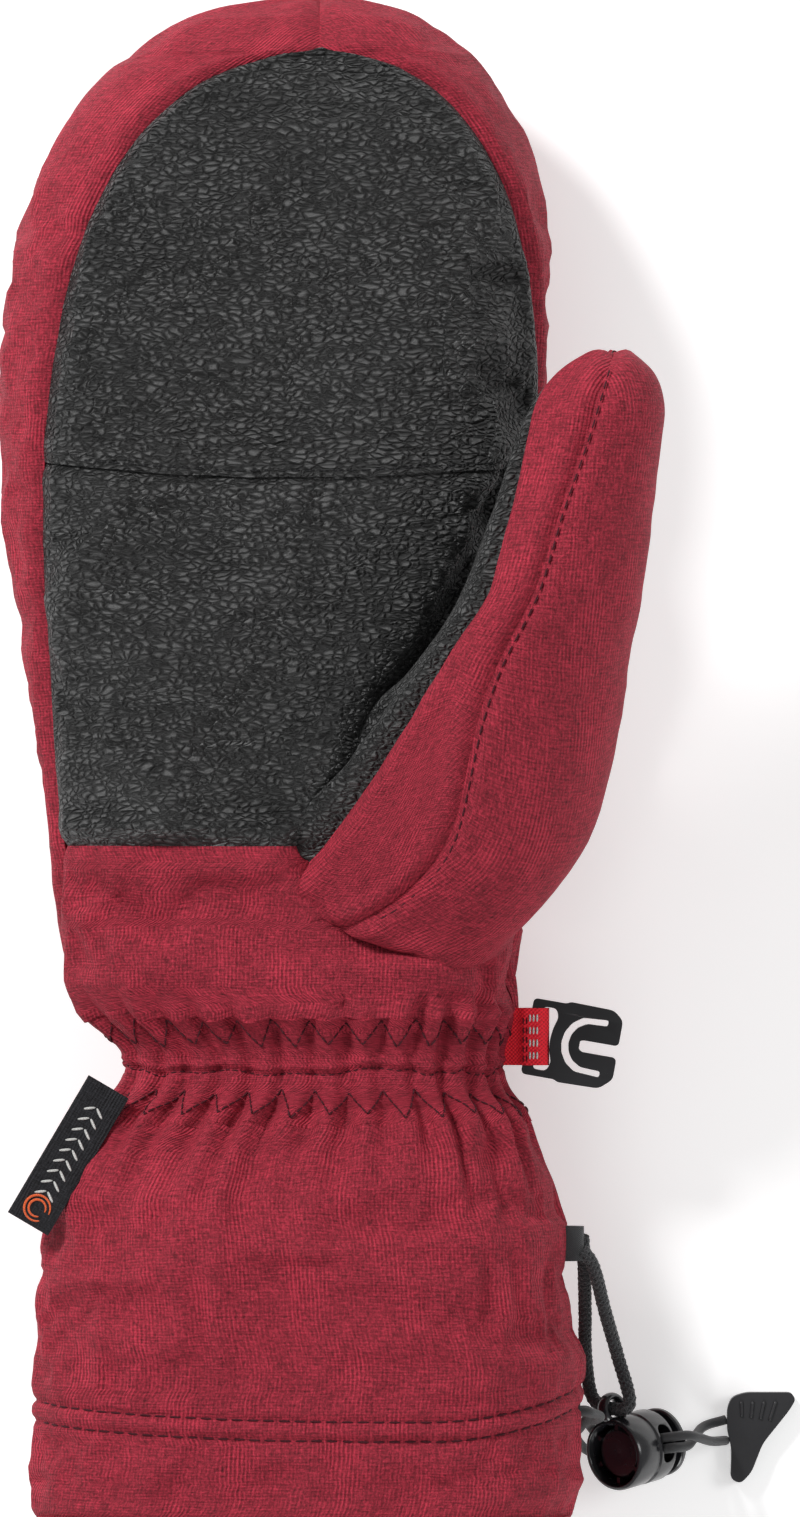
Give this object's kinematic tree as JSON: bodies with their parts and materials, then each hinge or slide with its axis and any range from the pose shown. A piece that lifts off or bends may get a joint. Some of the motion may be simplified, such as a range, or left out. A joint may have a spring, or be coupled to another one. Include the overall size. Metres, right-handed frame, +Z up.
{
  "type": "ski mitten",
  "caption": "Padded left ski mitten with a leather palm, an elasticated wrist, a gauntlet with a drawcord and cord lock, and a hook clip on a webbing loop.",
  "frame": {"origin": "on the table, under the middle of the mitten's bounding box, which leaves out the free cords and what hangs on them", "axes": "+X to the thumb side, +Y to the fingertips, +Z up from the table; the mitten lies on its back with the palm up"},
  "size_m": [0.1789, 0.3397, 0.0821],
  "materials": {
    "shell_twill": "fine ribbed stretch twill, burgundy, matt",
    "casing_fabric": "the same twill, gathered over elastic",
    "palm_leather": "black pebble grained leather, low sheen",
    "insulation": "off-white polyester wadding",
    "membrane": "thin waterproof insert, satin",
    "lining_fleece": "dark grey brushed lining",
    "elastic_band": "woven elastic",
    "smooth_elastic": "smooth black covered elastic",
    "braided_cord": "tightly braided black cord",
    "label_tape": "fine woven black tape",
    "red_webbing": "bright red woven webbing",
    "clip_plastic": "black moulded plastic",
    "lock_plastic": "glossy black moulded plastic",
    "tab_rubber": "black soft moulded plastic",
    "anchor_tape": "folded black tape",
    "spring_steel": "bright spring wire"
  },
  "bodies": {
    "hand": {"back_shell": "shell_twill", "outer_side_panel": "shell_twill", "inner_side_panel": "shell_twill", "palm_upper_leather": "palm_leather", "palm_lower_leather": "palm_leather", "heel_panel": "shell_twill", "waterproof_insert": "membrane", "back_insulation": "insulation", "palm_insulation": "insulation", "hand_lining": "lining_fleece", "upper_wrist_casing": "casing_fabric"},
    "thumb": {"thumb_front_panel": "shell_twill", "thumb_back_panel": "shell_twill", "thumb_leather": "palm_leather", "thumb_insert": "membrane", "thumb_insulation": "insulation", "thumb_lining": "lining_fleece"},
    "gauntlet": {"lower_wrist_casing": "casing_fabric", "wrist_elastic": "elastic_band", "gauntlet_palm_panel": "shell_twill", "gauntlet_back_panel": "shell_twill", "gauntlet_wadding": "insulation", "gauntlet_lining": "lining_fleece", "hem_facing": "shell_twill", "hem_interlining": "insulation", "drawcord": "smooth_elastic", "cord_grommet": "tab_rubber", "cord_anchor_tab": "anchor_tape", "anchor_cord": "braided_cord", "drawcord_end_a": "smooth_elastic", "drawcord_end_b": "smooth_elastic"},
    "label": {"side_label": "label_tape"},
    "webbing": {"webbing_loop": "red_webbing"},
    "clip": {"hook_clip": "clip_plastic"},
    "lock": {"lock_barrel": "lock_plastic", "lock_spring": "spring_steel"},
    "plunger": {"lock_plunger": "lock_plastic"},
    "tab": {"pull_tab": "tab_rubber"}
  },
  "joints": [
    {"name": "thumb_flex", "type": "hinge", "parent": "hand", "child": "thumb", "pos_m": [0.018, 0, 0.027], "axis": [0.0561, 0.9984, 0], "range_deg": [-8, 25]},
    {"name": "wrist_flex", "type": "hinge", "parent": "hand", "child": "gauntlet", "pos_m": [0, -0.069, 0.027], "axis": [1, 0, 0], "range_deg": [-12, 12]},
    {"name": "webbing_flex", "type": "hinge", "parent": "hand", "child": "webbing", "pos_m": [0.0396, -0.0623, 0.027], "axis": [0, 1, 0], "range_deg": [-30, 30]},
    {"name": "clip_swivel", "type": "hinge", "parent": "webbing", "child": "clip", "pos_m": [0.04575, -0.0623, 0.027], "axis": [0.1736, 0.9848, 0], "range_deg": [-70, 70]},
    {"name": "label_flap", "type": "hinge", "parent": "gauntlet", "child": "label", "pos_m": [-0.049, -0.0733, 0.0388], "axis": [0.8616, -0.5075, 0], "range_deg": [-60, 0]},
    {"name": "lock_slide", "type": "slide", "parent": "gauntlet", "child": "lock", "axis": [0.9781, 0.2079, 0], "range_m": [0, 0.006], "deforming": ["anchor_cord", "drawcord_end_a", "drawcord_end_b"]},
    {"name": "plunger_press", "type": "slide", "parent": "lock", "child": "plunger", "axis": [-0.6671, -0.1418, 0.7314], "range_m": [0, 0.002], "stiffness_N_per_m": 1200, "springref_m": -0.001, "deforming": ["lock_spring"]},
    {"name": "tab_pull", "type": "slide", "parent": "lock", "child": "tab", "axis": [1, 0, 0], "range_m": [0, 0.025], "deforming": ["drawcord_end_a", "drawcord_end_b"]}
  ]
}
